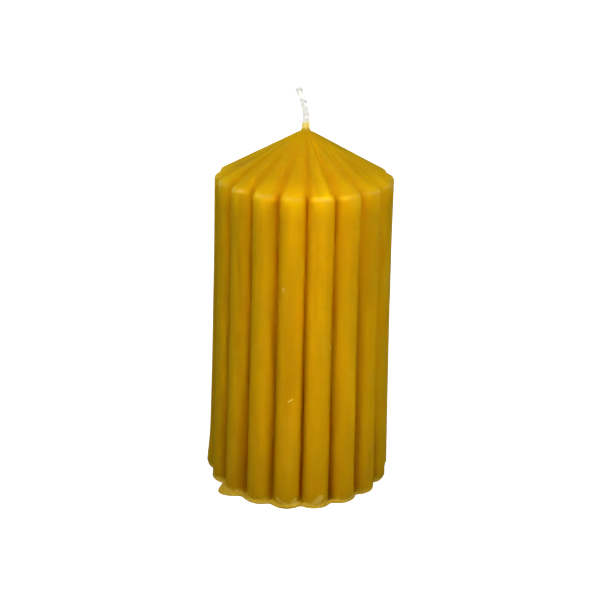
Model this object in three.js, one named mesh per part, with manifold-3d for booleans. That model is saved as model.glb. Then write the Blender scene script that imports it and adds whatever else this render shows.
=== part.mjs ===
// A moulded beeswax pillar candle: a column of round ribs that gather into a fluted, pointed top,
// with a cotton wick through its whole height. Pouring left a thin, uneven lip of wax round the
// base, with one tongue that ran out over the edge of the mould, and a slight swelling at the left.
// Sizes are millimetres and +Z is up. The origin lies on the table under the middle of the candle,
// and -Y is the side that faces the viewer. Turns round the axis are counted from -Y towards +X.
import * as THREE from "three";
import Module from "manifold-3d";
import { mergeVertices } from "three/addons/utils/BufferGeometryUtils.js";

// Ribbed column
const RIB_COUNT = 18;
const BASE_RADIUS = 33.5; // over the crests of the ribs, at the table
const SHOULDER_RADIUS = 31; // over the crests, where the pointed top begins
const SHOULDER_HEIGHT = 111.1;
const FLARE_POWER = 1.5; // how soon the column's flare fades upwards
const SHOULDER_ROUNDING = 2;
const RIB_DEPTH = 4.4; // from a crest down to the floor of the valley beside it
const VALLEY_ROUNDING = 0.45; // on the column
const TOP_VALLEY_ROUNDING = 1.7; // beyond the shoulder, where the valleys open out

// Pointed top
const TOP_RISE = 16.8; // from the shoulder up to where the crests would meet on the axis
const TOP_HOLLOW = 0.05; // how far the slope dips below a straight line, halfway up
const TOP_RIB_SHARE = 0.09; // depth of the ribs beside the wick, as a share of their radius

// Lip of wax round the base
const LIP_THICKNESS = 1;
const LIP_REACH = 0.2; // beyond the crests of the ribs
const LIP_VALLEY_DEPTH = 1.9; // how much less the lip stands out in front of a valley
const LIP_VALLEY_ROUNDING = 1.6;
const LIP_UNEVENNESS = 0.7;
const LIP_UNEVEN_TURN = -20; // degrees, where the lip stands out most
const LIP_EDGE_ROUNDING = 0.3;
const LIP_ROOT_RISE = 0.5; // the lip climbs this much to meet the ribs
const TONGUE_REACH = 3.1; // beyond the lip
const TONGUE_TURN = -52; // degrees
const TONGUE_SPREAD_BEFORE = 5.5; // degrees, on its left
const TONGUE_SPREAD_AFTER = 10; // degrees, on its right
const SWELLING_REACH = 1.1; // of the foot where wax ran down the outside
const SWELLING_TURN = -98; // degrees
const SWELLING_SPREAD = 14; // degrees
const SWELLING_HEIGHT = 9;

// Wick, and the collar of wax that climbs it
const WICK_DIAMETER = 2.2;
const WICK_CLEARANCE = 0.25;
const WICK_RECESS = 0.6; // its cut lower end lies this far above the table
const WICK_STRAIGHT = 3; // upright stretch above the point of the candle
const WICK_RISE = 13.5; // free end above the point of the candle
const WICK_LEAN = 2.9; // how far the free end leans towards -X
const COLLAR_WALL = 0.35;
const COLLAR_HEIGHT = 1.5;
const COLLAR_FILLET = 1;

// Fineness of the faceted surfaces
const CREST_STEPS = 8;
const VALLEY_STEPS = 3;
const COLUMN_STEPS = 7;
const SHOULDER_STEPS = 4;
const TOP_STEPS = 7;
const ROUND_STEPS = 24;
const WICK_SIDES = 12;
const WICK_STEPS = 12;
const WICK_BEND_STEPS = 8;
const FILLET_STEPS = 4;

const PITCH = (2 * Math.PI) / RIB_COUNT;
const BORE_RADIUS = WICK_DIAMETER / 2 + WICK_CLEARANCE;
const COLLAR_RADIUS = BORE_RADIUS + COLLAR_WALL;
const COLLAR_FOOT_RADIUS = COLLAR_RADIUS + COLLAR_FILLET;
const POINT_HEIGHT = SHOULDER_HEIGHT + TOP_RISE;

const wasm = await Module();
wasm.setup();

/** A point at a distance from the axis, in a direction given by its turn. */
function polar(radius, turn, height) {
  return new THREE.Vector3(radius * Math.sin(turn), -radius * Math.cos(turn), height);
}

/** Radius over the crests at a height on the column, which flares softly to its foot. */
function columnRadius(height) {
  const fromShoulder = 1 - height / SHOULDER_HEIGHT;
  return SHOULDER_RADIUS + (BASE_RADIUS - SHOULDER_RADIUS) * fromShoulder ** FLARE_POWER;
}

/** Height of the crests on the pointed top at a radius. */
function topHeight(radius) {
  const share = radius / SHOULDER_RADIUS;
  const dip = 4 * TOP_HOLLOW * share * (1 - share);
  return SHOULDER_HEIGHT + TOP_RISE * (1 - share) - dip;
}

/**
 * One level ring of the ribbed section. Each rib has a round crest, and a small fillet joins it to
 * its neighbour. A rib too deep for the two curves to touch gets straight flanks between them.
 */
function ribbedRing(crest, depth, rounding, height) {
  const half = PITCH / 2;
  const hollow = crest - depth + rounding;
  const outer = crest + rounding;
  const touching = (outer ** 2 - hollow ** 2) / (2 * (outer - hollow * Math.cos(half)));
  const straight = crest - (hollow * Math.sin(half) - rounding);
  const curved = hollow * Math.cos(half) >= touching;
  const centre = curved ? touching : straight;
  const reach = curved
    ? Math.atan2(hollow * Math.sin(half), hollow * Math.cos(half) - centre)
    : Math.PI / 2;
  const ring = [];
  for (let rib = 0; rib < RIB_COUNT; rib++) {
    const ribTurn = (rib + 0.5) * PITCH;
    const place = (outward, sideways) =>
      polar(outward, ribTurn, height).add(polar(sideways, ribTurn + Math.PI / 2, 0));
    for (let step = 0; step <= CREST_STEPS; step++) {
      const angle = reach * ((2 * step) / CREST_STEPS - 1);
      ring.push(
        place(centre + (crest - centre) * Math.cos(angle), (crest - centre) * Math.sin(angle))
      );
    }
    for (let step = 1; step < VALLEY_STEPS; step++) {
      const swing = (half - reach) * ((2 * step) / VALLEY_STEPS - 1);
      const angle = Math.PI + half + swing;
      ring.push(
        place(
          hollow * Math.cos(half) + rounding * Math.cos(angle),
          hollow * Math.sin(half) + rounding * Math.sin(angle)
        )
      );
    }
  }
  return ring;
}

/** A bump's height at a turn, which fades from its reach over a spread given for either side. */
function bump(turn, reach, middle, spreadBefore, spreadAfter) {
  const away = turn - THREE.MathUtils.degToRad(middle);
  const shortest = Math.atan2(Math.sin(away), Math.cos(away));
  const spread = THREE.MathUtils.degToRad(shortest < 0 ? spreadBefore : spreadAfter);
  return reach * Math.exp(-((shortest / spread) ** 2));
}

/** How far the foot is swollen outwards at a turn and a height. */
function swelling(turn, height) {
  const round = bump(turn, SWELLING_REACH, SWELLING_TURN, SWELLING_SPREAD, SWELLING_SPREAD);
  return round * Math.exp(-((height / SWELLING_HEIGHT) ** 2));
}

/** How far the lip runs out beyond its even outline at a turn: uneven, with one tongue. */
function runOut(turn) {
  const fromMost = turn - THREE.MathUtils.degToRad(LIP_UNEVEN_TURN);
  const uneven = LIP_UNEVENNESS * Math.cos(2 * fromMost);
  const tongue = bump(turn, TONGUE_REACH, TONGUE_TURN, TONGUE_SPREAD_BEFORE, TONGUE_SPREAD_AFTER);
  return uneven + tongue + swelling(turn, 0);
}

/** A ring whose points are pushed outwards by a distance that depends on their turn and height. */
function pushedOut(ring, distance) {
  return ring.map((point) => {
    const turn = Math.atan2(point.x, -point.y);
    return point.clone().add(polar(distance(turn, point.z), turn, 0));
  });
}

/** One level ring of the lip, drawn in by an inset. It follows the ribs, with shallower valleys. */
function lipRing(inset, height) {
  const crest = BASE_RADIUS + LIP_REACH - inset;
  return pushedOut(ribbedRing(crest, LIP_VALLEY_DEPTH, LIP_VALLEY_ROUNDING, height), runOut);
}

/** Skins closed rings of equal length, given in order, and closes both ends with a fan. */
function loft(rings) {
  const count = rings[0].length;
  const points = rings.flat();
  const ends = [rings[0], rings[rings.length - 1]];
  for (const end of ends) {
    const middle = end.reduce((sum, point) => sum.add(point), new THREE.Vector3());
    points.push(middle.divideScalar(count));
  }
  const faces = [];
  for (let ring = 0; ring + 1 < rings.length; ring++) {
    for (let step = 0; step < count; step++) {
      const here = ring * count + step;
      const next = ring * count + ((step + 1) % count);
      faces.push(here, next, next + count, here, next + count, here + count);
    }
  }
  const last = (rings.length - 1) * count;
  for (let step = 0; step < count; step++) {
    const next = (step + 1) % count;
    faces.push(points.length - 2, next, step);
    faces.push(points.length - 1, last + step, last + next);
  }
  const geometry = new THREE.BufferGeometry().setFromPoints(points);
  geometry.setIndex(faces);
  return geometry;
}

/** The solid that a closed geometry bounds. */
function solidOf(geometry) {
  const bare = geometry.clone();
  bare.deleteAttribute("normal");
  bare.deleteAttribute("uv");
  const merged = mergeVertices(bare, 1e-5);
  return new wasm.Manifold(
    new wasm.Mesh({
      numProp: 3,
      vertProperties: new Float32Array(merged.attributes.position.array),
      triVerts: new Uint32Array(merged.index.array),
    })
  );
}

/** The geometry that shows a solid. */
function geometryOf(solid) {
  const mesh = solid.getMesh();
  const geometry = new THREE.BufferGeometry();
  geometry.setAttribute("position", new THREE.BufferAttribute(mesh.vertProperties, 3));
  geometry.setIndex(new THREE.BufferAttribute(mesh.triVerts, 1));
  geometry.computeVertexNormals();
  return geometry;
}

/** Rings of the lip, from its rounded lower edge up to where it meets the ribs. */
function lipRings() {
  return [
    lipRing(LIP_EDGE_ROUNDING, 0),
    lipRing(0, LIP_THICKNESS / 2),
    lipRing(LIP_EDGE_ROUNDING, LIP_THICKNESS),
  ];
}

/** Rings of the column, from the lip up to the start of the shoulder's rounding. */
function columnRings(top) {
  const bottom = LIP_THICKNESS + LIP_ROOT_RISE;
  const rings = [];
  for (let step = 0; step <= COLUMN_STEPS; step++) {
    const height = bottom + ((top - bottom) * step) / COLUMN_STEPS;
    const ring = ribbedRing(columnRadius(height), RIB_DEPTH, VALLEY_ROUNDING, height);
    rings.push(pushedOut(ring, swelling));
  }
  return rings;
}

/** Rings of the rounded shoulder, from above the column's last ring up to the slope of the top. */
function shoulderRings(bottom, turned) {
  const centre = SHOULDER_RADIUS - SHOULDER_ROUNDING;
  const rings = [];
  for (let step = 1; step <= SHOULDER_STEPS; step++) {
    const angle = (turned * step) / SHOULDER_STEPS;
    const crest = centre + SHOULDER_ROUNDING * Math.cos(angle);
    const height = bottom + SHOULDER_ROUNDING * Math.sin(angle);
    const rounding = THREE.MathUtils.lerp(
      VALLEY_ROUNDING,
      TOP_VALLEY_ROUNDING,
      step / SHOULDER_STEPS
    );
    rings.push(ribbedRing(crest, RIB_DEPTH, rounding, height));
  }
  return rings;
}

/** Rings of the pointed top: the ribs narrow and grow shallow on their way up to the wick. */
function topRings(bottomRadius) {
  const topRadius = COLLAR_FOOT_RADIUS;
  const rings = [];
  for (let step = 1; step <= TOP_STEPS; step++) {
    const crest = bottomRadius + ((topRadius - bottomRadius) * step) / TOP_STEPS;
    const share = crest / bottomRadius;
    const depth = crest * (TOP_RIB_SHARE + (RIB_DEPTH / bottomRadius - TOP_RIB_SHARE) * share);
    rings.push(ribbedRing(crest, depth, TOP_VALLEY_ROUNDING * share, topHeight(crest)));
  }
  return rings;
}

/** The collar of wax that the wick drew up round itself, widening into the top by a fillet. */
function collar() {
  const foot = topHeight(COLLAR_FOOT_RADIUS);
  const profile = [
    new THREE.Vector2(0, foot - COLLAR_FILLET),
    new THREE.Vector2(COLLAR_FOOT_RADIUS, foot - COLLAR_FILLET),
  ];
  for (let step = 0; step <= FILLET_STEPS; step++) {
    const angle = (Math.PI / 2) * (step / FILLET_STEPS);
    profile.push(
      new THREE.Vector2(
        COLLAR_FOOT_RADIUS - COLLAR_FILLET * Math.sin(angle),
        foot + COLLAR_FILLET * (1 - Math.cos(angle))
      )
    );
  }
  profile.push(new THREE.Vector2(COLLAR_RADIUS, POINT_HEIGHT + COLLAR_HEIGHT));
  profile.push(new THREE.Vector2(0, POINT_HEIGHT + COLLAR_HEIGHT));
  return new THREE.LatheGeometry(profile, ROUND_STEPS).rotateX(Math.PI / 2);
}

/** The channel that the wick fills, open at the table and at the point. */
function wickChannel() {
  const length = POINT_HEIGHT + COLLAR_HEIGHT + 2;
  const channel = new THREE.CylinderGeometry(BORE_RADIUS, BORE_RADIUS, length, ROUND_STEPS);
  return channel.rotateX(Math.PI / 2).translate(0, 0, length / 2 - 1);
}

/** The one casting of wax: lip, ribbed column, shoulder, pointed top and collar. */
function waxBody() {
  const slope = Math.atan((TOP_RISE - 4 * TOP_HOLLOW) / SHOULDER_RADIUS);
  const turned = Math.PI / 2 - slope;
  const tangent = SHOULDER_ROUNDING * Math.tan(turned / 2);
  const columnTop = SHOULDER_HEIGHT - tangent;
  const topFoot = SHOULDER_RADIUS - tangent * Math.cos(slope);
  const casting = loft([
    ...lipRings(),
    ...columnRings(columnTop),
    ...shoulderRings(columnTop, turned),
    ...topRings(topFoot),
  ]);
  return geometryOf(solidOf(casting).add(solidOf(collar())).subtract(solidOf(wickChannel())));
}

/** The wick's middle line: upright through the wax, then bending over above the point. */
function wickLine() {
  const bendHeight = POINT_HEIGHT + WICK_STRAIGHT;
  const line = [];
  for (let step = 0; step < WICK_STEPS; step++) {
    const height = WICK_RECESS + ((bendHeight - WICK_RECESS) * step) / WICK_STEPS;
    line.push(new THREE.Vector3(0, 0, height));
  }
  const bend = new THREE.QuadraticBezierCurve3(
    new THREE.Vector3(0, 0, bendHeight),
    new THREE.Vector3(0, 0, bendHeight + (WICK_RISE - WICK_STRAIGHT) * 0.43),
    new THREE.Vector3(-WICK_LEAN, 0, POINT_HEIGHT + WICK_RISE)
  );
  return line.concat(bend.getPoints(WICK_BEND_STEPS));
}

/** The wick as a round tube along its middle line, cut square at both ends. */
function wick() {
  const line = wickLine();
  const across = new THREE.Vector3(0, 1, 0);
  const rings = line.map((centre, index) => {
    const before = line[Math.max(index - 1, 0)];
    const after = line[Math.min(index + 1, line.length - 1)];
    const along = after.clone().sub(before).normalize();
    const side = across.clone().cross(along);
    const ring = [];
    for (let step = 0; step < WICK_SIDES; step++) {
      const angle = (2 * Math.PI * step) / WICK_SIDES;
      const point = centre.clone();
      point.addScaledVector(side, (WICK_DIAMETER / 2) * Math.cos(angle));
      point.addScaledVector(across, (WICK_DIAMETER / 2) * Math.sin(angle));
      ring.push(point);
    }
    return ring;
  });
  return loft(rings);
}

const beeswax = new THREE.MeshStandardMaterial({ color: 0xd9a514, roughness: 0.42, metalness: 0 });
const cotton = new THREE.MeshStandardMaterial({ color: 0xf3f1e6, roughness: 0.95, metalness: 0 });

const candle = new THREE.Group();
const pieces = [
  ["wax_body", waxBody(), beeswax],
  ["wick", wick(), cotton],
];
for (const [name, geometry, material] of pieces) {
  const piece = new THREE.Mesh(geometry, material);
  piece.name = name;
  candle.add(piece);
}

export default candle;
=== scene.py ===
"""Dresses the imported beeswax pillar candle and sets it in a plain, bright studio.

Every piece is built in metres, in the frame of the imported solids: +Z is up, the origin lies on the
table under the middle of the candle, and the viewer stands on the -Y side. Turns round the axis are
counted from -Y towards +X. The wax is one closed mesh that holds the ribs, the pointed top and the
thin lip at its foot. The wick is a plait of three strands, each laid from seven cotton yarns.
"""

import logging
import math
from dataclasses import dataclass
from enum import Enum, IntEnum
from typing import Mapping, Optional, Sequence, Union

import bpy
import numpy as np
from mathutils import Matrix, Vector, noise


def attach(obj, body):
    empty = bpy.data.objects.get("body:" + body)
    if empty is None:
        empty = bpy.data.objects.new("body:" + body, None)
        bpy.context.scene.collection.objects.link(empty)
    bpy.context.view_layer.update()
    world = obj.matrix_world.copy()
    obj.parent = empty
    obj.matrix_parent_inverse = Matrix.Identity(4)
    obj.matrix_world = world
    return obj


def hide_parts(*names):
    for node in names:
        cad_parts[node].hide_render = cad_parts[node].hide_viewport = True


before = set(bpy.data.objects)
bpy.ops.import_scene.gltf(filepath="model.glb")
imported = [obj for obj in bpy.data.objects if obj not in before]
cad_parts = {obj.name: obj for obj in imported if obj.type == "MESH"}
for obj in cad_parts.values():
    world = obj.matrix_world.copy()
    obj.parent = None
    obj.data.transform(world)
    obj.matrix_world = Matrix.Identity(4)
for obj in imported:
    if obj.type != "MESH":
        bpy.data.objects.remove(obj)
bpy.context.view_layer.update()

log = logging.getLogger("candle")

MM = 0.001
BODY = "root"
Number = Union[int, float]
Colour = tuple[float, float, float]
Face = tuple[int, ...]
Ring = np.ndarray


class Slot(Enum):
    """The record's material slots."""

    BEESWAX = "beeswax"
    COTTON = "cotton_wick"


class Seed(IntEnum):
    """Seeds that give each unevenness a pattern of its own; the yarns also use those after YARN."""

    SWELL = 1
    RIPPLE = 2
    RAGGED = 3
    RAGGED_FINE = 4
    YARN = 5
    LIP_THICKNESS = 8


class Signal:
    """A node's output socket that stands in an expression; each operator adds one Math node."""

    def __init__(self, graph: "Graph", socket: bpy.types.NodeSocket) -> None:
        """Wraps a socket.

        Args:
            graph: The material graph that holds the socket.
            socket: The output socket to read from.
        """
        self.graph = graph
        self.socket = socket

    def _math(self, operation: str, *values: "Value") -> "Signal":
        """Adds a Math node.

        Args:
            operation: The Math node's operation, such as ADD.
            values: The node's inputs in order.

        Returns:
            The node's result.
        """
        inputs = dict(enumerate(values))
        return self.graph.node("ShaderNodeMath", {"operation": operation}, inputs)

    def __add__(self, other: "Value") -> "Signal":
        """Adds a value."""
        return self._math("ADD", self, other)

    def __radd__(self, other: "Value") -> "Signal":
        """Adds this to a value."""
        return self._math("ADD", other, self)

    def __sub__(self, other: "Value") -> "Signal":
        """Takes a value away."""
        return self._math("SUBTRACT", self, other)

    def __rsub__(self, other: "Value") -> "Signal":
        """Takes this away from a value."""
        return self._math("SUBTRACT", other, self)

    def __mul__(self, other: "Value") -> "Signal":
        """Multiplies by a value."""
        return self._math("MULTIPLY", self, other)

    def __rmul__(self, other: "Value") -> "Signal":
        """Multiplies a value by this."""
        return self._math("MULTIPLY", other, self)

    def at_most(self, other: "Value") -> "Signal":
        """The smaller of this and a value."""
        return self._math("MINIMUM", self, other)

    def at_least(self, other: "Value") -> "Signal":
        """The larger of this and a value."""
        return self._math("MAXIMUM", self, other)

    def between(self, low: float, high: float) -> "Signal":
        """Rises smoothly from 0 to 1.

        Args:
            low: The value at which the result leaves 0.
            high: The value at which the result reaches 1.

        Returns:
            The smoothed share, from 0 to 1.
        """
        settings = {"interpolation_type": "SMOOTHSTEP"}
        inputs = {"Value": self, "From Min": low, "From Max": high}
        return self.graph.node("ShaderNodeMapRange", settings, inputs)


Value = Union[Signal, Number, Sequence[float]]


@dataclass(frozen=True)
class Grain:
    """A noise texture; its blotches are size metres wide and stretch times as long along Z."""

    size: float
    detail: float = 2.0
    stretch: float = 1.0
    coarseness: float = 0.55


class Graph:
    """The node graph of a material or of the world."""

    def __init__(self, owner: Union[bpy.types.Material, bpy.types.World]) -> None:
        """Empties the owner's graph.

        Args:
            owner: The material or world to build.
        """
        self.owner = owner
        owner.use_nodes = True
        self.tree = owner.node_tree
        self.tree.nodes.clear()

    @classmethod
    def material(cls, name: str) -> "Graph":
        """Starts the graph of a new material.

        Args:
            name: The material's name.

        Returns:
            The graph.
        """
        return cls(bpy.data.materials.new(name))

    def node(
        self,
        kind: str,
        settings: Optional[Mapping[str, object]] = None,
        inputs: Optional[Mapping[Union[int, str], Value]] = None,
        output: Union[int, str, None] = 0,
    ) -> Optional[Signal]:
        """Adds a node of any type.

        Args:
            kind: The node's type.
            settings: Its properties, which are set before its sockets.
            inputs: Values or links by socket index or name.
            output: The index or name of the output to read, or None for a node without outputs.

        Returns:
            The chosen output, or None.
        """
        made = self.tree.nodes.new(kind)
        for key, value in (settings or {}).items():
            setattr(made, key, value)
        for key, value in (inputs or {}).items():
            self._feed(made.inputs[key], value)
        return None if output is None else Signal(self, made.outputs[output])

    def _feed(self, socket: bpy.types.NodeSocket, value: Value) -> None:
        """Links or sets one input socket.

        Args:
            socket: The input.
            value: A signal to link, or a plain value to set.
        """
        if isinstance(value, Signal):
            self.tree.links.new(value.socket, socket)
        elif isinstance(value, (tuple, list)) and socket.type == "RGBA":
            socket.default_value = (*value[:3], 1.0)
        else:
            socket.default_value = value

    def mix(self, share: Value, first: Value, second: Value) -> Signal:
        """Blends two colours.

        Args:
            share: 0 for the first colour, 1 for the second.
            first: The first colour.
            second: The second colour.

        Returns:
            The blended colour.
        """
        inputs = {"Factor": share, 6: first, 7: second}
        return self.node("ShaderNodeMix", {"data_type": "RGBA"}, inputs, output=2)

    def place(self, scale: Sequence[float] = (1.0, 1.0, 1.0)) -> Signal:
        """The point on the piece in its own metres.

        Args:
            scale: A stretch along each axis.

        Returns:
            The point as a vector.
        """
        point = self.node("ShaderNodeTexCoord", output="Object")
        return self.vector("MULTIPLY", point, tuple(scale))

    def grain(self, grain: Grain) -> Signal:
        """Noise from 0 to 1.

        Args:
            grain: The noise's size, detail and stretch.

        Returns:
            The noise.
        """
        inputs = {
            "Vector": self.place((1.0, 1.0, 1.0 / grain.stretch)),
            "Scale": 1.0 / grain.size,
            "Detail": grain.detail,
            "Roughness": grain.coarseness,
        }
        return self.node("ShaderNodeTexNoise", None, inputs, output="Fac")

    def painted(self, name: str) -> Signal:
        """A mask that is stored on the mesh's points.

        Args:
            name: The mask's name.

        Returns:
            The mask, from 0 to 1.
        """
        return self.node("ShaderNodeAttribute", {"attribute_name": name}, output="Fac")

    def vector(self, operation: str, *values: Value, output: Union[int, str] = 0) -> Signal:
        """Adds a Vector Math node.

        Args:
            operation: The node's operation, such as SUBTRACT.
            values: The node's inputs in order.
            output: The index or name of the output to read.

        Returns:
            The node's result.
        """
        inputs = dict(enumerate(values))
        return self.node("ShaderNodeVectorMath", {"operation": operation}, inputs, output)

    def stroke(
        self, start: Sequence[float], end: Sequence[float], radius: float, core: float = 0.25
    ) -> Signal:
        """A short soft stroke between two points.

        Args:
            start: One end of the stroke, in the piece's own metres.
            end: Its other end.
            radius: Distance from the stroke at which it has faded away.
            core: Share of the radius over which the stroke keeps its full strength.

        Returns:
            1 on the stroke and 0 away from it.
        """
        along = Vector(end) - Vector(start)
        per_length = tuple(along / along.length_squared)
        offset = self.vector("SUBTRACT", self.place(), tuple(start))
        share = self.vector("DOT_PRODUCT", offset, per_length, output="Value")
        inputs = {0: tuple(along), "Scale": share.at_least(0.0).at_most(1.0)}
        step = self.node("ShaderNodeVectorMath", {"operation": "SCALE"}, inputs)
        distance = self.vector("DISTANCE", offset, step, output="Value")
        return distance.between(radius, radius * core)

    def shown(self) -> Signal:
        """Tells the rays that show the surround from the others.

        Returns:
            1 for the rays of the camera, of gloss and of glass, and 0 for the others.
        """
        path = "ShaderNodeLightPath"
        seen = self.node(path, output="Is Camera Ray")
        seen = seen.at_least(self.node(path, output="Is Glossy Ray"))
        return seen.at_least(self.node(path, output="Is Transmission Ray"))

    def finish(self, surface: Signal) -> Union[bpy.types.Material, bpy.types.World]:
        """Ends the graph at its owner's surface.

        Args:
            surface: The shader to show.

        Returns:
            The finished material or world.
        """
        kind = "World" if isinstance(self.owner, bpy.types.World) else "Material"
        self.node(f"ShaderNodeOutput{kind}", None, {"Surface": surface}, output=None)
        return self.owner


@dataclass(frozen=True)
class Scuff:
    """A small pale scuff on the wax, as a stroke between two points; lengths are in metres."""

    start: tuple[float, float, float]
    end: tuple[float, float, float]
    radius: float
    strength: float


@dataclass(frozen=True)
class BeeswaxFinish:
    """Golden, satin, slightly translucent beeswax; lengths are in metres."""

    deep: Colour = (0.500, 0.265, 0.001)
    warm: Colour = (0.556, 0.298, 0.001)
    # Painted light: the ribs are lighter near the shoulder.
    bright: Colour = (0.690, 0.382, 0.001)
    # Painted shade: the valleys are darker, and less so higher up.
    hollow: Colour = (0.460, 0.200, 0.001)
    upper_valley_shade: Colour = (0.640, 0.312, 0.001)
    pale: Colour = (0.79, 0.58, 0.09)
    crust: Colour = (0.62, 0.395, 0.011)
    film: Colour = (0.92, 0.73, 0.19)
    film_edge: Colour = (0.95, 0.88, 0.56)
    clouds: Grain = Grain(14 * MM, 3.0, 1.6)
    drag: Grain = Grain(0.9 * MM, 2.0, 26.0)
    fine: Grain = Grain(1.1 * MM, 4.0)
    flecks: Grain = Grain(0.8 * MM, 3.0)
    smears: Grain = Grain(2.2 * MM, 3.0)
    bloom_spots: Grain = Grain(5 * MM, 5.0)
    cloud_share: float = 0.6
    cloud_relief: float = 0.55
    drag_relief: float = 0.22
    fine_relief: float = 0.10
    fleck_relief: float = 0.5
    bump_strength: float = 0.35
    bump_height: float = 0.10 * MM
    scatter_reach: Colour = (1.0, 1.0, 1.0)
    scatter_scale: float = 12 * MM
    roughness: float = 0.30
    roughness_grain: float = 0.10
    scuff_roughness: float = 0.3
    roughest: float = 0.8
    bloom: float = 0.15
    bloom_everywhere: float = 0.10
    bloom_on_crests: float = 0.25
    sheen: float = 0.02
    rim_sheen: float = 0.45
    sheen_roughness: float = 0.11
    sheen_ior: float = 1.45
    smear_unevenness: float = 0.9
    fleck_cover: float = 0.7
    thin_cover: float = 0.9
    thin_roughness: float = 0.55
    thin_gloss: float = 0.15
    thin_scatter: float = 0.6
    thin_scatter_scale: float = 1 * MM
    scuffs: tuple[Scuff, ...] = (
        Scuff((-0.00745, -0.02995, 0.0804), (-0.00735, -0.03005, 0.0797), 0.00085, 0.35),
        Scuff((-0.00500, -0.03180, 0.0404), (-0.00378, -0.03165, 0.0412), 0.00045, 0.8),
        Scuff((0.00915, -0.02765, 0.0588), (0.00915, -0.02765, 0.0593), 0.00110, 1.0),
        Scuff((0.00500, -0.03290, 0.0014), (0.00680, -0.03260, 0.0036), 0.00190, 0.6),
        Scuff((-0.00850, -0.03150, 0.0030), (-0.00500, -0.03310, 0.0012), 0.00070, 0.5),
        Scuff((-0.00330, -0.03300, 0.0012), (-0.00200, -0.03200, 0.0026), 0.00110, 0.5),
    )

    def scuffed(self, graph: Graph) -> Signal:
        """How strongly the wax is scuffed.

        Args:
            graph: The wax's graph.

        Returns:
            All scuffs together.
        """
        strokes = [
            graph.stroke(scuff.start, scuff.end, scuff.radius) * scuff.strength for scuff in self.scuffs
        ]
        return sum(strokes[1:], strokes[0])

    def body_colour(self, graph: Graph, clouds: Signal, drag: Signal) -> Signal:
        """Colour of the thick wax, without its bloom and scuffs.

        Args:
            graph: The wax's graph.
            clouds: Noise of the cloudy tone.
            drag: Noise of the drag streaks.

        Returns:
            The colour, with painted light near the shoulder and painted shade in the valleys, which is
            lighter in the upper valleys.
        """
        streaks = self.cloud_share * clouds.between(0.3, 0.72)
        streaks = streaks + (1 - self.cloud_share) * drag.between(0.35, 0.65)
        ribs = graph.mix(streaks, self.deep, self.warm)
        # Painted light: the ribs grow lighter towards the shoulder.
        ribs = graph.mix(graph.painted("top"), ribs, self.bright)
        # Painted shade: the valleys are darker, less so higher up.
        hollow = graph.mix(graph.painted("up"), self.hollow, self.upper_valley_shade)
        return graph.mix(graph.painted("valley").between(0.1, 0.9), ribs, hollow)

    def thick_wax(self, graph: Graph, body: Signal, fine: Signal, normal: Signal) -> Signal:
        """Shader of the ribs and the pointed top.

        Args:
            graph: The wax's graph.
            body: The wax's colour, with its painted shade and painted light.
            fine: Noise of the finest grain.
            normal: The bumped normal.

        Returns:
            The shader, with its bloom, its scuffs and the sheen on the shoulder.
        """
        scuffed = self.scuffed(graph)
        spots = graph.grain(self.bloom_spots).between(0.52, 0.74)
        crest_share = self.bloom_everywhere + self.bloom_on_crests * graph.painted("crest")
        bloom = self.bloom * spots * crest_share
        roughness = self.roughness + self.roughness_grain * (fine - 0.5)
        inputs = {
            "Base Color": graph.mix((bloom + scuffed).at_most(1.0), body, self.pale),
            "Roughness": (roughness + self.scuff_roughness * scuffed).at_most(self.roughest),
            "Normal": normal,
            "Specular IOR Level": 0.0,
            "Subsurface Weight": 1.0,
            "Subsurface Radius": self.scatter_reach,
            "Subsurface Scale": self.scatter_scale,
            "Coat Weight": self.sheen + graph.painted("rim") * self.rim_sheen,
            "Coat Roughness": self.sheen_roughness,
            "Coat IOR": self.sheen_ior,
        }
        return graph.node("ShaderNodeBsdfPrincipled", {"subsurface_method": "RANDOM_WALK"}, inputs)

    def thin_wax(self, graph: Graph, film: Signal, flecks: Signal, normal: Signal) -> Signal:
        """Shader of the pale thin wax on the lip and on the foot of the wick.

        Args:
            graph: The wax's graph.
            film: The mask of the wax that climbs the wick.
            flecks: The mask of the crust's pale flecks.
            normal: The bumped normal.

        Returns:
            The shader.
        """
        crust = graph.mix(flecks * self.fleck_cover, self.crust, self.pale)
        climbing = graph.mix(film.between(0.55, 1.0), self.film, self.film_edge)
        inputs = {
            "Base Color": graph.mix(film.between(0.25, 0.5), crust, climbing),
            "Roughness": self.thin_roughness,
            "Normal": normal,
            "Specular IOR Level": self.thin_gloss,
            "Subsurface Weight": self.thin_scatter,
            "Subsurface Radius": self.scatter_reach,
            "Subsurface Scale": self.thin_scatter_scale,
        }
        return graph.node("ShaderNodeBsdfPrincipled", {"subsurface_method": "RANDOM_WALK"}, inputs)

    def material(self) -> bpy.types.Material:
        """Builds the wax material.

        Returns:
            The material, which reads the masks lip, crest, valley, up, top, film and rim.
        """
        graph = Graph.material("beeswax")
        clouds = graph.grain(self.clouds)
        drag = graph.grain(self.drag)
        fine = graph.grain(self.fine)
        flecks = graph.grain(self.flecks).between(0.50, 0.62)
        uneven = self.smear_unevenness * (graph.grain(self.smears) - 0.5)
        smear = (graph.painted("lip") + uneven).between(0.35, 0.95)
        film = graph.painted("film")
        relief = self.cloud_relief * clouds + self.drag_relief * drag
        relief = relief + self.fine_relief * fine + self.fleck_relief * smear * flecks
        bump = {"Strength": self.bump_strength, "Distance": self.bump_height, "Height": relief}
        normal = graph.node("ShaderNodeBump", None, bump)
        thick_wax = self.thick_wax(graph, self.body_colour(graph, clouds, drag), fine, normal)
        thin_wax = self.thin_wax(graph, film, flecks, normal)
        thin = (smear * self.thin_cover).at_least(film.between(0.0, 0.5))
        return graph.finish(
            graph.node("ShaderNodeMixShader", None, {0: thin, 1: thick_wax, 2: thin_wax})
        )


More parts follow.
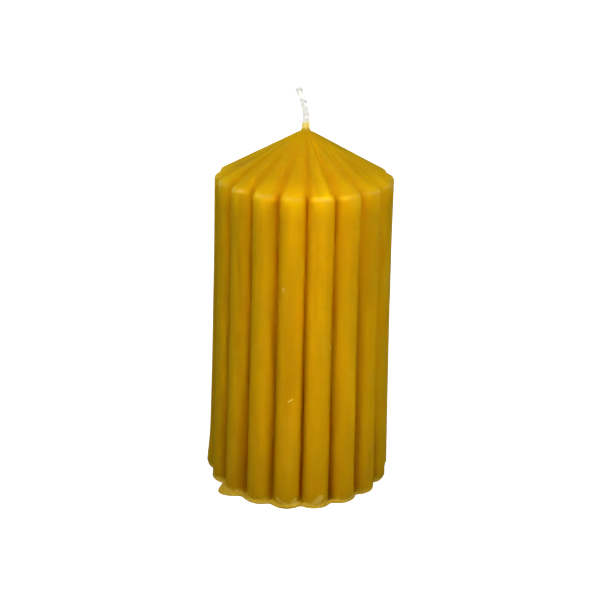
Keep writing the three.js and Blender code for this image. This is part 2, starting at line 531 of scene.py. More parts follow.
@dataclass(frozen=True)
class CottonFinish:
    """Undyed cotton yarn, which turns to waxy yellow where it leaves the wax."""

    dry: Colour = (0.96, 0.96, 0.92)
    # Painted shade in the grooves of the plait; the fibre grain also darkens towards this colour.
    shade: Colour = (0.94, 0.935, 0.89)
    soaked: Colour = (0.96, 0.90, 0.62)
    fibres: Grain = Grain(0.05 * MM, 3.0, 7.0)
    blotches: Grain = Grain(0.7 * MM)
    groove_shade: float = 0.8
    fibre_shade: float = 0.35
    shade_start: float = 0.1
    wet_unevenness: float = 0.3
    dry_roughness: float = 0.95
    wet_roughness: float = 0.45
    bump_strength: float = 0.35
    bump_height: float = 0.03 * MM
    scatter: float = 0.2
    scatter_reach: Colour = (1.0, 0.9, 0.7)
    scatter_scale: float = 1 * MM
    fuzz: float = 0.4
    fuzz_roughness: float = 0.6

    def material(self) -> bpy.types.Material:
        """Builds the yarn material.

        Returns:
            The material, which reads the masks soak and groove.
        """
        graph = Graph.material("cotton_wick")
        fibres = graph.grain(self.fibres)
        # Painted shade where the plait lies deep, plus fine streaks from the fibre grain.
        shaded = graph.painted("groove_painted_shade") * self.groove_shade + self.fibre_shade * fibres
        dry = graph.mix((shaded - self.shade_start).at_least(0.0), self.dry, self.shade)
        uneven = self.wet_unevenness * (graph.grain(self.blotches) - 0.5)
        wet = (graph.painted("soak") + uneven).between(0.15, 0.85)
        bump = {"Strength": self.bump_strength, "Distance": self.bump_height, "Height": fibres}
        inputs = {
            "Base Color": graph.mix(wet, dry, self.soaked),
            "Roughness": self.dry_roughness - (self.dry_roughness - self.wet_roughness) * wet,
            "Normal": graph.node("ShaderNodeBump", None, bump),
            "Subsurface Weight": self.scatter,
            "Subsurface Radius": self.scatter_reach,
            "Subsurface Scale": self.scatter_scale,
            "Sheen Weight": self.fuzz,
            "Sheen Roughness": self.fuzz_roughness,
        }
        return graph.finish(graph.node("ShaderNodeBsdfPrincipled", None, inputs))


@dataclass(frozen=True)
class TableFinish:
    """A white table that keeps the candle's shadow and throws little light back at the candle."""

    bounce: Colour = (0.12, 0.12, 0.12)
    seen: Colour = (0.8, 0.8, 0.8)
    glow: float = 0.97

    def material(self) -> bpy.types.Material:
        """Builds the table's material.

        Returns:
            The material.
        """
        graph = Graph.material("white_table")
        shown = graph.shown()
        colour = graph.mix(shown, self.bounce, self.seen)
        lit = graph.node("ShaderNodeBsdfDiffuse", None, {"Color": colour})
        glow = graph.node("ShaderNodeEmission", None, {"Strength": shown * self.glow})
        return graph.finish(graph.node("ShaderNodeAddShader", None, {0: lit, 1: glow}))


def lift(ring: Ring, height: Union[float, np.ndarray]) -> Ring:
    """A copy of a ring at another height.

    Args:
        ring: Points as rows of X, Y and Z.
        height: The new Z, one for all or one for each point.

    Returns:
        The copy.
    """
    raised = ring.copy()
    raised[:, 2] = height
    return raised


def ramp(values: np.ndarray, start: float, span: float) -> np.ndarray:
    """Rises evenly from 0 to 1.

    Args:
        values: What to look at, such as heights.
        start: The value at which the result leaves 0.
        span: How much further on it reaches 1.

    Returns:
        A share from 0 to 1 for each value.
    """
    return np.clip((values - start) / span, 0, 1)


def turns_of(ring: Ring) -> np.ndarray:
    """The turn of each point of a ring round the candle's axis."""
    return np.arctan2(ring[:, 0], -ring[:, 1])


def turned_away(turns: np.ndarray, middle: float) -> np.ndarray:
    """How far turns lie from a middle turn, the short way round."""
    return np.angle(np.exp(1j * (turns - middle)))


def smooth_noise(points: np.ndarray, size: float, seed: int) -> np.ndarray:
    """Noise of one octave at points.

    Args:
        points: Points as rows of X, Y and Z, in metres.
        size: How large its blotches are, in metres.
        seed: Moves the noise, so that each use has its own.

    Returns:
        A value from about -1 to 1 for each point.
    """
    shift = Vector((seed * 17.3, seed * -9.1, seed * 5.7))
    return np.array([noise.noise(Vector(point) / size + shift) for point in points])


def skin(rings: Sequence[Ring]) -> tuple[np.ndarray, list[Face]]:
    """Joins closed rings of equal length into one closed skin with a fan over each end.

    Args:
        rings: The rings in order, each running anticlockwise as seen from the last one.

    Returns:
        The points and the faces.
    """
    count = len(rings[0])
    points = np.vstack([*rings, rings[0].mean(axis=0), rings[-1].mean(axis=0)])
    faces: list[Face] = []
    for level in range(len(rings) - 1):
        start = level * count
        for step in range(count):
            after = (step + 1) % count
            faces.append((start + step, start + after, start + count + after, start + count + step))
    first, last = len(points) - 2, len(points) - 1
    top = (len(rings) - 1) * count
    for step in range(count):
        after = (step + 1) % count
        faces.append((first, after, step))
        faces.append((last, top + step, top + after))
    return points, faces


def joined(skins: Sequence[tuple[np.ndarray, list[Face]]]) -> tuple[np.ndarray, list[Face]]:
    """Joins several skins into one mesh.

    Args:
        skins: The points and the faces of each skin.

    Returns:
        All points and all faces.
    """
    faces: list[Face] = []
    total = 0
    for points, sides in skins:
        faces.extend(tuple(total + corner for corner in face) for face in sides)
        total += len(points)
    return np.vstack([points for points, _ in skins]), faces


def across(line: np.ndarray) -> tuple[np.ndarray, np.ndarray]:
    """Directions across a line that runs nowhere along Y.

    Args:
        line: The line's points.

    Returns:
        Two unit directions at each point, at right angles to the line and to each other.
    """
    along = np.gradient(line, axis=0)
    along /= np.linalg.norm(along, axis=1)[:, None]
    first = np.cross([0.0, 1.0, 0.0], along)
    first /= np.linalg.norm(first, axis=1)[:, None]
    return first, np.cross(along, first)


def tube(line: np.ndarray, radius: np.ndarray, sides: int) -> list[Ring]:
    """Rings of a round tube along a line.

    Args:
        line: The line's points.
        radius: The tube's radius at each point.
        sides: How many sides the tube has.

    Returns:
        The rings.
    """
    first, second = across(line)
    angles = np.linspace(0, 2 * math.pi, sides, endpoint=False)
    rings = []
    for index, centre in enumerate(line):
        spread = np.outer(np.cos(angles), first[index]) + np.outer(np.sin(angles), second[index])
        rings.append(centre + spread * radius[index])
    return rings


def make_piece(
    name: str,
    points: np.ndarray,
    faces: Sequence[Face],
    masks: Mapping[str, np.ndarray],
    material: bpy.types.Material,
) -> bpy.types.Object:
    """Makes a smooth mesh object and stores its masks.

    Args:
        name: The piece's name.
        points: Points as rows of X, Y and Z, in metres.
        faces: Faces as tuples of point numbers.
        masks: Values for each point, by the names that the material reads.
        material: The finish.

    Returns:
        The object, linked into the scene.
    """
    mesh = bpy.data.meshes.new(name)
    mesh.from_pydata(points.tolist(), [], faces)
    for mask, values in masks.items():
        layer = mesh.attributes.new(mask, "FLOAT", "POINT")
        layer.data.foreach_set("value", np.asarray(values, dtype=np.float32))
    mesh.polygons.foreach_set("use_smooth", [True] * len(mesh.polygons))
    mesh.materials.append(material)
    mesh.update()
    piece = bpy.data.objects.new(name, mesh)
    bpy.context.scene.collection.objects.link(piece)
    return piece


@dataclass
class Casting:
    """The one casting of wax, from the lip on the table to the film of wax that climbs the wick."""

    rib_count: int = 18
    base_radius: float = 33.5 * MM
    shoulder_radius: float = 31.0 * MM
    shoulder_height: float = 111.1 * MM
    flare_power: float = 1.5
    shoulder_rounding: float = 2.0 * MM
    rib_depth: float = 4.4 * MM
    valley_rounding: float = 0.45 * MM
    top_valley_rounding: float = 1.7 * MM
    top_rise: float = 16.8 * MM
    top_hollow: float = 0.05 * MM
    top_rib_share: float = 0.09
    lip_thickness: float = 1.0 * MM
    lip_thickness_share: float = 0.85
    lip_thickness_unevenness: float = 0.35
    lip_thickness_size: float = 6 * MM
    lip_reach: float = 0.2 * MM
    lip_valley_depth: float = 1.9 * MM
    lip_valley_rounding: float = 1.6 * MM
    lip_unevenness: float = 0.7 * MM
    lip_uneven_turn: float = math.radians(-20)
    lip_raggedness: float = 0.16 * MM
    ragged_size: float = 3.5 * MM
    ragged_fine_size: float = 1.4 * MM
    ragged_fine_share: float = 0.5
    lip_root_rise: float = 0.5 * MM
    tongue_reach: float = 3.1 * MM
    tongue_turn: float = math.radians(-52)
    tongue_before: float = math.radians(5.5)
    tongue_after: float = math.radians(10)
    swelling_reach: float = 1.1 * MM
    swelling_turn: float = math.radians(-98)
    swelling_spread: float = math.radians(14)
    swelling_height: float = 9.0 * MM
    film_radius: float = 1.36 * MM
    film_height: float = 2.6 * MM
    film_fillet: float = 1.5 * MM
    film_level: float = 0.8
    film_unevenness: float = 0.5
    film_waves: tuple[tuple[float, int, float], ...] = ((0.3, 2, 0.6), (0.16, 5, 2.0))
    wick_hole_radius: float = 1.35 * MM
    wick_hole_depth: float = 0.9 * MM
    wick_hole_dome: float = 0.92
    wick_hole_edge: float = 0.12 * MM
    wick_hole_edge_rise: float = 0.1 * MM
    underside_shares: tuple[float, ...] = (0.2, 0.45, 0.7, 0.88)
    lip_root_shares: tuple[float, ...] = (0.25, 0.5, 0.7, 0.84, 0.93, 0.98)
    swell: float = 0.07 * MM
    swell_size: float = 13 * MM
    swell_stretch: float = 2.0
    ripple: float = 0.02 * MM
    ripple_size: float = 4 * MM
    calm_share: float = 0.9
    calm_strength: float = 0.2
    crest_steps: int = 18
    valley_steps: int = 6
    column_steps: int = 56
    column_crowding: float = 0.12
    shoulder_steps: int = 12
    top_steps: int = 26
    fillet_steps: int = 6
    least_depth: float = 0.3 * MM
    crest_share: float = 0.25
    lip_start: float = 0.9
    lip_fade: float = 1.5 * MM
    foot_fade: float = 2 * MM
    point_fade: float = 4 * MM
    # Painted shade in the valleys, weaker on the pointed top and lighter higher up, and painted light
    # near the shoulder.
    top_valley_shade: float = 0.5
    glow_start: float = 9 * MM
    glow_span: float = 8 * MM
    glow_power: float = 1.5
    hollow_glow_start: float = 35 * MM
    hollow_glow_span: float = 65 * MM
    film_mask_start: float = 1.6 * MM
    film_mask_span: float = 4.4 * MM
    rim_place: float = 0.42
    rim_width: float = 0.30
    rim_fade_start: float = 5 / 22
    rim_fade_span: float = 10 / 22

    def pitch(self) -> float:
        """The turn from one rib to the next."""
        return 2 * math.pi / self.rib_count

    def column_radius(self, height: float) -> float:
        """Radius over the crests at a height on the column, which flares softly to its foot."""
        share = max(1 - height / self.shoulder_height, 0.0)
        return self.shoulder_radius + (self.base_radius - self.shoulder_radius) * share**self.flare_power

    def top_height(self, radius: float) -> float:
        """Height of the crests on the pointed top.

        Args:
            radius: Radius over the crests.

        Returns:
            The height, a little below a straight slope.
        """
        share = radius / self.shoulder_radius
        dip = 4 * self.top_hollow * share * (1 - share)
        return self.shoulder_height + self.top_rise * (1 - share) - dip

    def rib_outline(self, crest: float, depth: float, rounding: float) -> np.ndarray:
        """Outline of one rib and the valley after it, before it is turned into place.

        Args:
            crest: Radius over the crests.
            depth: Depth of the valleys below the crests.
            rounding: Radius of the valley floors.

        Returns:
            Points as rows of outward and sideways distance.
        """
        half = self.pitch() / 2
        hollow = crest - depth + rounding
        reach_out, reach_side = hollow * math.cos(half), hollow * math.sin(half)
        centre = ((crest + rounding) ** 2 - hollow**2) / (2 * (crest + rounding - reach_out))
        reach = math.atan2(reach_side, reach_out - centre)
        if centre > reach_out:
            centre = crest - (reach_side - rounding)
            reach = math.pi / 2
        arc = np.linspace(-reach, reach, self.crest_steps + 1)
        round_crest = np.column_stack([np.cos(arc), np.sin(arc)]) * (crest - centre)
        round_crest[:, 0] += centre
        swing = (half - reach) * (2 * np.arange(1, self.valley_steps) / self.valley_steps - 1)
        arc = math.pi + half + swing
        valley = np.column_stack([np.cos(arc), np.sin(arc)]) * rounding
        valley += (reach_out, reach_side)
        return np.vstack([round_crest, valley])

    def ribbed_ring(self, crest: float, depth: float, rounding: float, height: float) -> Ring:
        """One level ring of the ribbed section.

        Args:
            crest: Radius over the crests.
            depth: Depth of the valleys below the crests.
            rounding: Radius of the valley floors.
            height: Height of the ring.

        Returns:
            The ring.
        """
        outline = self.rib_outline(crest, depth, rounding)
        parts = []
        for rib in range(self.rib_count):
            turn = (rib + 0.5) * self.pitch()
            outward = np.array([math.sin(turn), -math.cos(turn), 0.0])
            sideways = np.array([math.cos(turn), math.sin(turn), 0.0])
            parts.append(outline[:, :1] * outward + outline[:, 1:] * sideways)
        return lift(np.vstack(parts), height)

    def even_turns(self) -> np.ndarray:
        """Turns of the points of a ring that follows no rib.

        Returns:
            As many turns as a ribbed ring has points, in step with it.
        """
        per_rib = self.crest_steps + self.valley_steps
        steps = (np.arange(per_rib) + 0.5 * self.valley_steps) / per_rib
        return (np.arange(self.rib_count)[:, None] + steps).ravel() * self.pitch()

    def round_ring(self, radius: Union[float, np.ndarray], height: Union[float, np.ndarray]) -> Ring:
        """A ring at a radius that may change from point to point.

        Args:
            radius: One radius, or one for each point.
            height: One height, or one for each point.

        Returns:
            The ring.
        """
        turns = self.even_turns()
        ring = np.column_stack([np.sin(turns), -np.cos(turns), np.zeros_like(turns)])
        ring *= np.broadcast_to(radius, turns.shape)[:, None]
        return lift(ring, height)

    def swelling(self, ring: Ring) -> np.ndarray:
        """How far the foot is swollen outwards, where wax ran down the outside of the mould.

        Args:
            ring: Points of the foot.

        Returns:
            A distance for each point.
        """
        away = turned_away(turns_of(ring), self.swelling_turn)
        fade = (away / self.swelling_spread) ** 2 + (ring[:, 2] / self.swelling_height) ** 2
        return self.swelling_reach * np.exp(-fade)

    def pushed_out(self, ring: Ring, distance: np.ndarray) -> Ring:
        """A ring whose points are pushed outwards.

        Args:
            ring: The ring.
            distance: How far each point is pushed.

        Returns:
            The pushed ring.
        """
        outward = ring * (1, 1, 0)
        outward /= np.linalg.norm(outward, axis=1)[:, None]
        return ring + outward * distance[:, None]

    def run_out(self, ring: Ring) -> np.ndarray:
        """How far the lip runs out beyond its even outline: uneven, ragged, with one tongue.

        Args:
            ring: Points of the lip's even outline.

        Returns:
            A distance for each point.
        """
        turns = turns_of(ring)
        uneven = self.lip_unevenness * np.cos(2 * (turns - self.lip_uneven_turn))
        away = turned_away(turns, self.tongue_turn)
        spread = np.where(away < 0, self.tongue_before, self.tongue_after)
        tongue = self.tongue_reach * np.exp(-((away / spread) ** 2))
        coarse = smooth_noise(ring, self.ragged_size, Seed.RAGGED)
        fine = smooth_noise(ring, self.ragged_fine_size, Seed.RAGGED_FINE)
        ragged = self.lip_raggedness * (coarse + self.ragged_fine_share * fine)
        return uneven + tongue + self.swelling(ring) + ragged

    def underside_rings(self) -> list[Ring]:
        """Rings of the small hole round the wick's lower end and of the flat underside.

        Returns:
            The rings, from the middle outwards.
        """
        hole = self.wick_hole_radius
        rings = [
            self.round_ring(hole / 2, self.wick_hole_depth),
            self.round_ring(hole, self.wick_hole_depth * self.wick_hole_dome),
            self.round_ring(hole, self.wick_hole_edge_rise),
            self.round_ring(hole + self.wick_hole_edge, 0.0),
        ]
        for share in self.underside_shares:
            rings.append(self.round_ring(self.base_radius * share, 0.0))
        return rings

    def lip_rings(self) -> list[Ring]:
        """Rings of the lip's edge and upper face.

        Returns:
            The rings, from the table up to the start of the ribbed column.
        """
        crest = self.base_radius + self.lip_reach
        depth, rounding = self.lip_valley_depth, self.lip_valley_rounding
        outline = self.ribbed_ring(crest, depth, rounding, 0.0)
        edge = self.pushed_out(outline, self.run_out(outline))
        uneven = self.lip_thickness_unevenness * smooth_noise(
            outline, self.lip_thickness_size, Seed.LIP_THICKNESS
        )
        thickness = self.lip_thickness * (self.lip_thickness_share + uneven)
        insets = np.array([0.35, 0.1, 0.0, 0.03, 0.12, 0.3]) * MM
        rises = (0.0, 0.07, 0.3, 0.65, 0.88, 1.0)
        rings = []
        for inset, rise in zip(insets, rises):
            drawn_in = self.pushed_out(edge, np.full(len(edge), -inset))
            rings.append(lift(drawn_in, thickness * rise))
        ledge = rings[-1]
        foot_height = self.lip_thickness + self.lip_root_rise
        foot = self.ribbed_ring(
            self.column_radius(foot_height), self.rib_depth, self.valley_rounding, foot_height
        )
        foot = self.pushed_out(foot, self.swelling(foot))
        for share in self.lip_root_shares:
            blend = ledge + (foot - ledge) * share
            climb = 1 - math.sqrt(1 - share**2)
            blend[:, 2] = ledge[:, 2] + (foot_height - ledge[:, 2]) * climb
            rings.append(blend)
        return rings

    def column_rings(self, top: float) -> list[Ring]:
        """Rings of the column, closer together near its foot and its shoulder.

        Args:
            top: Height at which the shoulder begins.

        Returns:
            The rings, from the lip up.
        """
        bottom = self.lip_thickness + self.lip_root_rise
        rings = []
        whole = 2 * math.pi
        for share in np.linspace(0, 1, self.column_steps + 1):
            eased = share - self.column_crowding * math.sin(whole * share) / whole
            height = bottom + (top - bottom) * eased
            radius = self.column_radius(height)
            ring = self.ribbed_ring(radius, self.rib_depth, self.valley_rounding, height)
            rings.append(self.pushed_out(ring, self.swelling(ring)))
        return rings

    def shoulder_rings(self, bottom: float, turned: float) -> list[Ring]:
        """Rings of the rounded shoulder above the column.

        Args:
            bottom: Height at which the shoulder begins.
            turned: How far it turns, from upright to the slope of the pointed top.

        Returns:
            The rings, from the bottom up.
        """
        centre = self.shoulder_radius - self.shoulder_rounding
        rings = []
        widening = self.top_valley_rounding - self.valley_rounding
        for angle in np.linspace(0, turned, self.shoulder_steps + 1)[1:]:
            crest = centre + self.shoulder_rounding * math.cos(angle)
            height = bottom + self.shoulder_rounding * math.sin(angle)
            rounding = self.valley_rounding + widening * angle / turned
            rings.append(self.ribbed_ring(crest, self.rib_depth, rounding, height))
        return rings

    def top_rings(self, bottom_radius: float) -> list[Ring]:
        """Rings of the pointed top, whose ribs narrow and grow shallow towards the wick.

        Args:
            bottom_radius: Radius over the crests where the shoulder ends.

        Returns:
            The rings, from the shoulder inwards.
        """
        top_radius = self.film_radius + self.film_fillet
        steepness = self.rib_depth / bottom_radius - self.top_rib_share
        rings = []
        for crest in np.linspace(bottom_radius, top_radius, self.top_steps + 1)[1:]:
            share = crest / bottom_radius
            depth = crest * (self.top_rib_share + steepness * share)
            rounding = self.top_valley_rounding * share
            rings.append(self.ribbed_ring(crest, depth, rounding, self.top_height(crest)))
        return rings

    def film_rings(self) -> list[Ring]:
        """Rings of the wax that climbs the wick.

        Returns:
            The rings, from the pointed top up to the film's uneven edge on the cotton.
        """
        foot = self.top_height(self.film_radius + self.film_fillet)
        rings = []
        for angle in np.linspace(0, math.pi / 2, self.fillet_steps + 1)[1:]:
            radius = self.film_radius + self.film_fillet * (1 - math.sin(angle))
            rings.append(self.round_ring(radius, foot + self.film_fillet * (1 - math.cos(angle))))
        turns = self.even_turns()
        uneven = sum(size * np.sin(count * turns + phase) for size, count, phase in self.film_waves)
        level = self.film_level + self.film_unevenness * uneven
        top = self.shoulder_height + self.top_rise + self.film_height * level
        start = foot + self.film_fillet
        profile = ((0.35, 0.99), (0.7, 0.96), (0.92, 0.91), (1.0, 0.8), (0.96, 0.4))
        for climb, drawn_in in profile:
            height = start + (top - start) * climb
            rings.append(self.round_ring(self.film_radius * drawn_in, height))
        return rings

    def shoulder_turn(self) -> float:
        """The turn of the rounded shoulder, from upright to the slope of the pointed top."""
        return math.pi / 2 - math.atan((self.top_rise - 4 * self.top_hollow) / self.shoulder_radius)

    def shoulder_start(self) -> float:
        """Height at which the rounded shoulder begins."""
        return self.shoulder_height - self.shoulder_rounding * math.tan(self.shoulder_turn() / 2)

    def rings(self) -> list[Ring]:
        """All rings of the casting.

        Returns:
            The rings, from the middle of the underside to the film on the wick.
        """
        turned = self.shoulder_turn()
        column_top = self.shoulder_start()
        inset = (self.shoulder_height - column_top) * math.sin(turned)
        return [
            *self.underside_rings(),
            *self.lip_rings(),
            *self.column_rings(column_top),
            *self.shoulder_rings(column_top, turned),
            *self.top_rings(self.shoulder_radius - inset),
            *self.film_rings(),
        ]

    def valley_share(self, rings: Sequence[Ring]) -> np.ndarray:
        """How far down each point lies between the crest and the valley floor of its own rib.

        Args:
            rings: The rings of the casting.

        Returns:
            0 on a crest and 1 on a valley floor, for each point and for the two end points.
        """
        per_rib = len(rings[0]) // self.rib_count
        shares = []
        for ring in rings:
            radius = np.hypot(ring[:, 0], ring[:, 1]).reshape(self.rib_count, per_rib)
            crest = radius.max(axis=1, keepdims=True)
            floor = radius.min(axis=1, keepdims=True)
            shares.append(((crest - radius) / np.maximum(crest - floor, self.least_depth)).ravel())
        return np.concatenate([*shares, [0.0, 0.0]])

    def masks(self, rings: Sequence[Ring], points: np.ndarray) -> dict[str, np.ndarray]:
        """Works out the masks that the finish reads.

        Args:
            rings: The rings of the casting.
            points: The points of the casting.

        Returns:
            The masks lip, crest, valley, up, top, film and rim, from 0 to 1 for each point.
        """
        height = points[:, 2]
        radius = np.hypot(points[:, 0], points[:, 1])
        share = self.valley_share(rings)
        point_height = self.shoulder_height + self.top_rise
        lip = 1 - ramp(height, self.lip_thickness, self.lip_fade)
        outside = ramp(radius, self.base_radius * self.lip_start, 1 * MM)
        off_lip = ramp(height, self.lip_thickness, self.foot_fade)
        above = ramp(height, self.shoulder_height - self.point_fade / 2, self.point_fade)
        on_point = ramp(height, self.shoulder_height, self.point_fade)
        glow = ramp(height, self.shoulder_height - self.glow_start, self.glow_span)
        climb = (height - self.shoulder_start()) / self.shoulder_rounding
        rim = np.exp(-(((climb - self.rim_place) / self.rim_width) ** 2))
        return {
            "lip": lip * outside,
            "crest": (1 - ramp(share, 0.0, self.crest_share)) * (1 - above) * off_lip,
            # Painted shade in the valleys, kept weaker on the pointed top.
            "valley": share * (1 - (1 - self.top_valley_shade) * above) * off_lip,
            # Lightens the painted valley shade higher up.
            "up": ramp(height, self.hollow_glow_start, self.hollow_glow_span),
            # Painted light near the shoulder.
            "top": glow**self.glow_power * (1 - on_point),
            "film": ramp(height, point_height - self.film_mask_start, self.film_mask_span),
            "rim": rim * (1 - ramp(share, self.rim_fade_start, self.rim_fade_span)),
        }

    def weather(self, points: np.ndarray, normals: np.ndarray) -> np.ndarray:
        """Gives the surface the gentle unevenness of a hand-poured casting.

        Args:
            points: The points of the casting.
            normals: Its normals.

        Returns:
            The moved points; the underside stays flat.
        """
        squeezed = points / (1, 1, self.swell_stretch)
        swell = self.swell * smooth_noise(squeezed, self.swell_size, Seed.SWELL)
        ripple = self.ripple * smooth_noise(points, self.ripple_size, Seed.RIPPLE)
        off_table = ramp(points[:, 2], 0.0, self.foot_fade)
        near_wick = points[:, 2] > self.shoulder_height + self.calm_share * self.top_rise
        strength = off_table * np.where(near_wick, self.calm_strength, 1.0)
        return points + normals * ((swell + ripple) * strength)[:, None]

    def build(self, material: bpy.types.Material) -> bpy.types.Object:
        """Builds and dresses the casting.

        Args:
            material: The beeswax finish.

        Returns:
            The piece.
        """
        rings = self.rings()
        points, faces = skin(rings)
        masks = self.masks(rings, points)
        piece = make_piece("wax_casting", points, faces, masks, material)
        normals = np.array([vertex.normal for vertex in piece.data.vertices])
        moved = self.weather(points, normals)
        piece.data.vertices.foreach_set("co", moved.ravel())
        piece.data.update()
        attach(piece, BODY)
        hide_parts("wax_body")
        return piece


@dataclass
class Wick:
    """The cotton wick: a plait of three strands through the whole candle, bent over at its end."""

    recess: float = 0.6 * MM
    point_height: float = 127.9 * MM
    straight: float = 3.0 * MM
    rise: float = 13.5 * MM
    lean: float = 2.9 * MM
    bend_share: float = 0.43
    strands: int = 3
    plait_period: float = 6.3 * MM
    swing: float = 0.60 * MM
    weave_depth: float = 0.30 * MM
    yarn_radius: float = 0.20 * MM
    yarn_ring: float = 0.29 * MM
    yarns_round: int = 6
    lay_length: float = 4.6 * MM
    yarn_sides: int = 8
    core_sides: int = 8
    yarn_steps: int = 150
    core_steps: int = 240
    curve_steps: int = 200
    yarn_lumps: float = 0.08
    lump_size: float = 0.5 * MM
    covered: float = 5.0 * MM
    trimmed: float = 0.3 * MM
    strand_stagger: float = 0.25 * MM
    yarn_stagger: float = 0.12 * MM
    splay: float = 0.45
    splay_length: float = 1.4 * MM
    end_taper: tuple[float, ...] = (0.95, 0.8, 0.45)
    soak_height: float = 3.4 * MM
    # Width and strength of the painted shade where the plait lies deep.
    groove_width: float = 0.5 * MM
    groove_shade: float = 0.6

    def middle(self, count: int, low: float, high: float) -> tuple[np.ndarray, np.ndarray]:
        """Points of the wick's middle line between two lengths along it.

        Args:
            count: How many points.
            low: Length at the first point, from the lower end.
            high: Length at the last point, no more than the whole.

        Returns:
            The points, and their lengths along the wick.
        """
        bend = self.point_height + self.straight
        start = np.array([0, 0, bend])
        pull = np.array([0, 0, bend + (self.rise - self.straight) * self.bend_share])
        end = np.array([-self.lean, 0, self.point_height + self.rise])
        t = np.linspace(0, 1, self.curve_steps)[:, None]
        curve = (1 - t) ** 2 * start + 2 * t * (1 - t) * pull + t**2 * end
        line = np.vstack([[0, 0, self.recess], curve])
        steps = np.linalg.norm(np.diff(line, axis=0), axis=1)
        lengths = np.concatenate([[0], np.cumsum(steps)])
        wanted = np.linspace(low, min(high, lengths[-1]), count)
        points = np.column_stack([np.interp(wanted, lengths, line[:, axis]) for axis in range(3)])
        return points, wanted

    def length(self) -> float:
        """Whole length of the wick along its middle line."""
        return float(self.middle(2, 0.0, math.inf)[1][-1])

    def strand(self, number: int, middle: np.ndarray, lengths: np.ndarray) -> np.ndarray:
        """Middle line of one strand of the plait.

        Args:
            number: The strand, counted from 0.
            middle: Points of the wick's middle line.
            lengths: Their lengths along the wick.

        Returns:
            The strand's points.
        """
        along = np.gradient(middle, axis=0)
        along /= np.linalg.norm(along, axis=1)[:, None]
        depth = np.array([0.0, 1.0, 0.0])
        side = np.cross(depth, along)
        phase = 2 * math.pi * (lengths / self.plait_period + number / self.strands)
        sideways = self.swing * np.sin(phase)
        inward = self.weave_depth * np.sin(2 * phase)
        return middle + side * sideways[:, None] + depth * inward[:, None]

    def yarn(self, number: int, place: int, middle: np.ndarray, lengths: np.ndarray) -> np.ndarray:
        """Middle line of one of the yarns that a strand is laid from.

        Args:
            number: The strand.
            place: 0 for the yarn in the strand's middle, and from 1 on for those round it.
            middle: Points of the wick's middle line.
            lengths: Their lengths along the wick.

        Returns:
            The yarn's points, which splay at the cut end.
        """
        line = self.strand(number, middle, lengths)
        if place == 0:
            return line
        first, second = across(line)
        near_end = 1 - ramp(lengths[-1] - lengths, 0.0, self.splay_length)
        reach = self.yarn_ring * (1 + self.splay * near_end**2)
        turn = 2 * math.pi * (lengths / self.lay_length + (place - 1) / self.yarns_round)
        spread = first * np.cos(turn)[:, None] + second * np.sin(turn)[:, None]
        return line + spread * reach[:, None]

    def braid_start(self) -> float:
        """Length along the wick at which the braid of yarns begins, inside the wax."""
        return self.point_height - self.recess - self.covered

    def build_braid(self, material: bpy.types.Material) -> bpy.types.Object:
        """Builds the end that stands out of the wax, yarn by yarn.

        Args:
            material: The cotton finish.

        Returns:
            The piece.
        """
        skins = []
        for number in range(self.strands):
            trim = self.trimmed - self.strand_stagger * math.sin(2.3 * number + 0.4)
            for place in range(self.yarns_round + 1):
                cut = self.length() - trim - self.yarn_stagger * (place % 3)
                middle, lengths = self.middle(self.yarn_steps, self.braid_start(), cut)
                line = self.yarn(number, place, middle, lengths)
                lumps = smooth_noise(line, self.lump_size, Seed.YARN + place)
                radius = self.yarn_radius * (1 + self.yarn_lumps * lumps)
                radius[-len(self.end_taper) :] *= self.end_taper
                skins.append(skin(tube(line, radius, self.yarn_sides)))
        points, faces = joined(skins)
        soak = 1 - ramp(points[:, 2], self.point_height, self.soak_height)
        # Painted shade on the yarns that lie close to the plait's middle plane, deep between the strands.
        depth = ramp(np.abs(points[:, 1]), 0.0, self.weave_depth + self.groove_width)
        masks = {"soak": soak, "groove_painted_shade": self.groove_shade * (1 - depth)}
        return self.dress(make_piece("wick_braid", points, faces, masks, material))

    def build_core(self, material: bpy.types.Material) -> bpy.types.Object:
        """Builds the stretch inside the wax, whose cut end shows in the underside.

        Args:
            material: The cotton finish.

        Returns:
            The piece.
        """
        stop = self.braid_start() + self.yarn_radius
        middle, lengths = self.middle(self.core_steps, 0.0, stop)
        radius = np.full(len(middle), self.yarn_ring + self.yarn_radius)
        strands = [self.strand(number, middle, lengths) for number in range(self.strands)]
        points, faces = joined([skin(tube(line, radius, self.core_sides)) for line in strands])
        masks = {"soak": np.ones(len(points)), "groove_painted_shade": np.zeros(len(points))}
        return self.dress(make_piece("wick_core", points, faces, masks, material))

    def dress(self, piece: bpy.types.Object) -> bpy.types.Object:
        """Fastens a stretch of wick to the candle's body.

        Args:
            piece: The stretch of wick.

        Returns:
            The same piece.
        """
        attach(piece, BODY)
        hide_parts("wick")
        return piece


@dataclass(frozen=True)
class Lamp:
    """A soft rectangular lamp that hangs round the candle and faces a point on its axis.

    Angles are in degrees, lengths in metres and the power in watts.
    """

    name: str
    turn: float
    climb: float
    distance: float
    width: float
    height: float
    power: float
    spread: float = 180.0
    aim_height: float = 0.07

    def hang(self) -> None:
        """Hangs the lamp in the scene."""
        data = bpy.data.lights.new(self.name, "AREA")
        data.shape = "RECTANGLE"
        data.size = self.width
        data.size_y = self.height
        data.spread = math.radians(self.spread)
        data.energy = self.power
        lamp = bpy.data.objects.new(self.name, data)
        turn, climb = math.radians(self.turn), math.radians(self.climb)
        level = self.distance * math.cos(climb)
        away = Vector((math.sin(turn) * level, -math.cos(turn) * level, self.distance * math.sin(climb)))
        lamp.location = Vector((0, 0, self.aim_height)) + away
        lamp.rotation_euler = away.to_track_quat("Z", "Y").to_euler()
        bpy.context.scene.collection.objects.link(lamp)


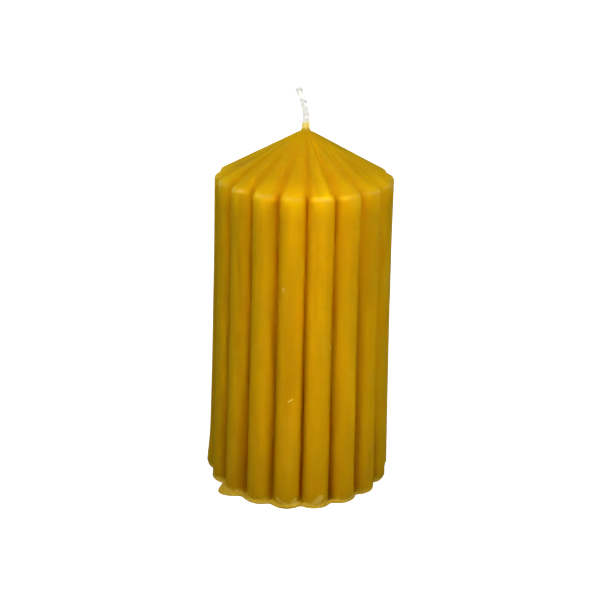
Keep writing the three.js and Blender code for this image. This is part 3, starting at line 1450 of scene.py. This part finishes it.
@dataclass
class Studio:
    """The white table, the soft lamps and the camera; lengths are in metres."""

    camera_distance: float = 0.380
    camera_height: float = 0.20495
    camera_turn: float = math.radians(-2.425)
    camera_pitch: float = math.radians(20.146)
    camera_yaw: float = math.radians(-0.094)
    camera_roll: float = math.radians(1.2975)
    lens: float = 67.815
    sensor: float = 36.0
    view_depth: float = 20.0
    table_half: float = 4.0
    ambient: float = 0.14
    lamps: tuple[Lamp, ...] = (
        Lamp("left_key", -40, 46, 0.5, width=0.07, height=0.07, power=0.99),
        Lamp("right_key", 50, 24, 0.5, width=0.07, height=0.07, power=0.66),
        Lamp("front_strip", 5, 15, 0.45, width=0.02, height=0.16, power=0.02, spread=14, aim_height=0.08),
        Lamp("back_fill", 190, 22, 0.6, width=0.30, height=0.30, power=0.65),
    )

    def build_camera(self) -> None:
        """Places the camera where the photograph was taken from."""
        data = bpy.data.cameras.new("camera")
        data.lens = self.lens
        data.sensor_width = self.sensor
        data.clip_end = self.view_depth
        camera = bpy.data.objects.new("camera", data)
        turn = Matrix.Rotation(self.camera_turn, 3, "Z")
        aim = Matrix.Rotation(-self.camera_yaw, 3, "Z")
        pitch = self.camera_pitch
        right = Vector((1, 0, 0))
        up = Vector((0, math.sin(pitch), math.cos(pitch)))
        back = Vector((0, -math.cos(pitch), math.sin(pitch)))
        roll = self.camera_roll
        tilted_right = right * math.cos(roll) + up * math.sin(roll)
        tilted_up = up * math.cos(roll) - right * math.sin(roll)
        axes = Matrix((tilted_right, tilted_up, back)).transposed()
        place = turn @ Vector((0, -self.camera_distance, self.camera_height))
        camera.matrix_world = Matrix.Translation(place) @ (turn @ aim @ axes).to_4x4()
        bpy.context.scene.collection.objects.link(camera)
        bpy.context.scene.camera = camera

    def build_table(self, material: bpy.types.Material) -> None:
        """Lays the white table.

        Args:
            material: The table's finish.
        """
        half = self.table_half
        corners = np.array([(-half, -half, 0), (half, -half, 0), (half, half, 0), (-half, half, 0)])
        table = make_piece("table", corners, [(0, 1, 2, 3)], {}, material)

    def build_world(self) -> None:
        """Sets a white surround that shows to the camera and in reflections, and is dim elsewhere."""
        world = bpy.data.worlds.new("surround")
        graph = Graph(world)
        strength = self.ambient + (1 - self.ambient) * graph.shown()
        inputs = {"Color": (1, 1, 1), "Strength": strength}
        graph.finish(graph.node("ShaderNodeBackground", None, inputs))
        bpy.context.scene.world = world

    def build(self) -> None:
        """Sets up everything that isn't part of the candle."""
        self.build_camera()
        self.build_table(TableFinish().material())
        for lamp in self.lamps:
            lamp.hang()
        self.build_world()
        bpy.context.scene.view_settings.view_transform = "Standard"


def main() -> None:
    """Builds the candle and the studio, and reports each piece."""
    logging.basicConfig(level=logging.INFO, format="%(message)s")
    Studio().build()
    cotton = CottonFinish().material()
    wick = Wick()
    pieces = [
        Casting().build(BeeswaxFinish().material()),
        wick.build_braid(cotton),
        wick.build_core(cotton),
    ]
    for piece in pieces:
        log.info("%s: %d points", piece.name, len(piece.data.vertices))


if __name__ == "__main__":
    main()
